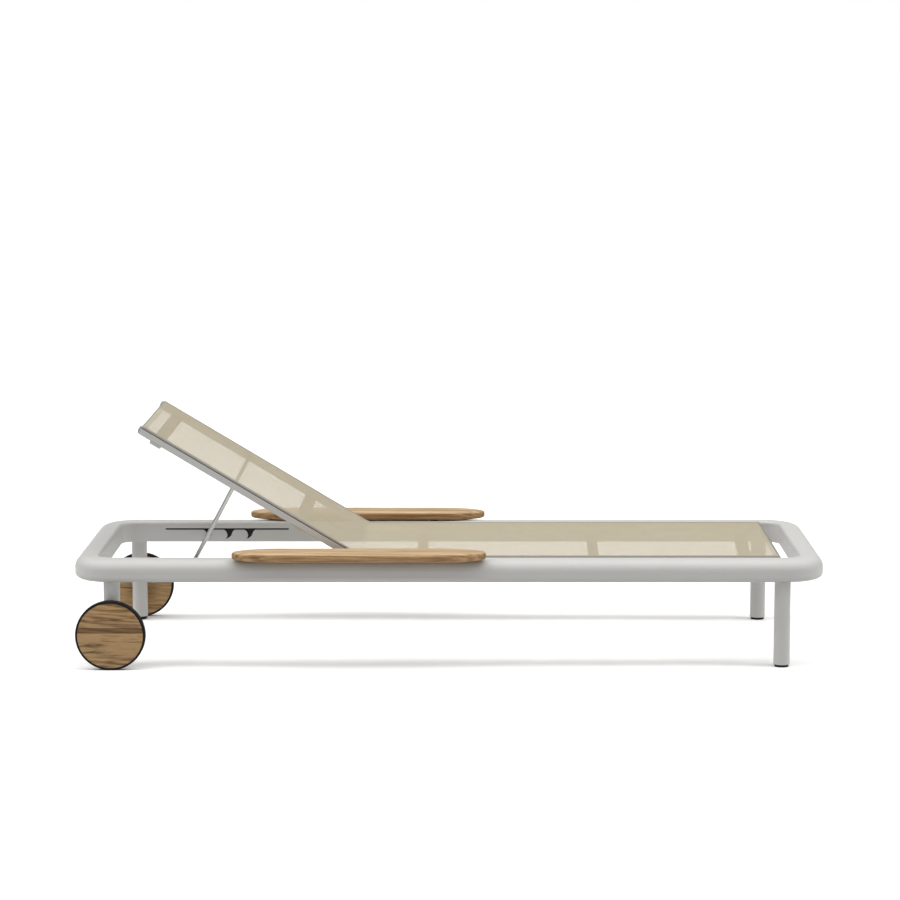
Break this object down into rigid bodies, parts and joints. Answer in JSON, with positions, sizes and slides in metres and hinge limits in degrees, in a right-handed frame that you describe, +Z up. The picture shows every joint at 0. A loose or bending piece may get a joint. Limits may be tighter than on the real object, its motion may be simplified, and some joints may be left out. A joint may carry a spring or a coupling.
{
  "type": "reclining sun lounger",
  "caption": "Low sun lounger with a rounded aluminium ring frame, mesh sling, propped reclining backrest, teak armrest boards and teak wheels at the head end.",
  "frame": {"origin": "on the floor, under the middle of the ring frame", "axes": "+X along the lounger to the foot end, +Y to the left of a person lying on it, +Z up"},
  "size_m": [2.05, 0.81, 0.6545],
  "materials": {
    "powder_coat": "powder-coated, light warm grey, satin",
    "mesh_sling": "woven polyester mesh, sand",
    "keder_cord": "woven edge over a cord",
    "teak": "oiled teak",
    "glide_plastic": "black nylon",
    "tyre_rubber": "black rubber",
    "stainless": "brushed stainless steel",
    "cap_plastic": "light grey nylon"
  },
  "bodies": {
    "frame": {"side_rail_left": "powder_coat", "side_rail_right": "powder_coat", "head_rail": "powder_coat", "foot_rail": "powder_coat", "corner_head_left": "powder_coat", "corner_head_right": "powder_coat", "corner_foot_left": "powder_coat", "corner_foot_right": "powder_coat", "leg_head_left": "powder_coat", "leg_head_right": "powder_coat", "leg_foot_left": "powder_coat", "leg_foot_right": "powder_coat", "seat_rail_left": "powder_coat", "seat_rail_right": "powder_coat", "seat_crossbar_upper": "powder_coat", "seat_crossbar_middle": "powder_coat", "seat_crossbar_foot": "powder_coat", "seat_sling": "mesh_sling", "seat_keder_left": "keder_cord", "seat_keder_right": "keder_cord", "arm_board_left": "teak", "arm_board_right": "teak", "head_glides": "glide_plastic", "foot_glides": "glide_plastic", "slot_liner_left": "glide_plastic", "slot_liner_right": "glide_plastic", "arm_board_pads": "glide_plastic", "axle_left": "stainless", "axle_right": "stainless", "axle_clips": "stainless", "seat_rail_screws": "stainless", "arm_board_screws": "stainless", "hinge_plate_left": "stainless", "hinge_plate_right": "stainless", "hinge_pins": "stainless", "seat_rail_caps": "cap_plastic", "seat_rail_spacers": "cap_plastic"},
    "backrest": {"back_rail_left": "powder_coat", "back_rail_right": "powder_coat", "back_keder_left": "keder_cord", "back_keder_right": "keder_cord", "back_rail_caps": "cap_plastic", "head_crossbar": "powder_coat", "lower_crossbar": "powder_coat", "back_sling": "mesh_sling", "prop_bushes": "glide_plastic"},
    "prop": {"prop_leg_left": "stainless", "prop_leg_right": "stainless", "prop_cross_rod": "stainless", "prop_studs": "stainless"},
    "wheel_left": {"wheel_disc_left": "teak", "tyre_left": "tyre_rubber", "wheel_bush_left": "glide_plastic"},
    "wheel_right": {"wheel_disc_right": "teak", "tyre_right": "tyre_rubber", "wheel_bush_right": "glide_plastic"}
  },
  "joints": [
    {"name": "backrest_hinge", "type": "hinge", "parent": "frame", "child": "backrest", "pos_m": [-0.239, 0, 0.287], "axis": [0, 1, 0], "range_deg": [-31, 5.2]},
    {"name": "prop_pivot", "type": "hinge", "parent": "backrest", "child": "prop", "pos_m": [-0.58564, 0, 0.49062], "axis": [0, 1, 0], "range_deg": [-14.5, 86.1]},
    {"name": "wheel_left_spin", "type": "hinge", "parent": "frame", "child": "wheel_left", "pos_m": [-0.917, 0.376, 0.095], "axis": [0, 1, 0], "continuous": true},
    {"name": "wheel_right_spin", "type": "hinge", "parent": "frame", "child": "wheel_right", "pos_m": [-0.917, -0.376, 0.095], "axis": [0, 1, 0], "continuous": true}
  ],
  "couplings": [
    {"joint": "prop_pivot", "follows": "backrest_hinge", "ratio": -2.774}
  ]
}
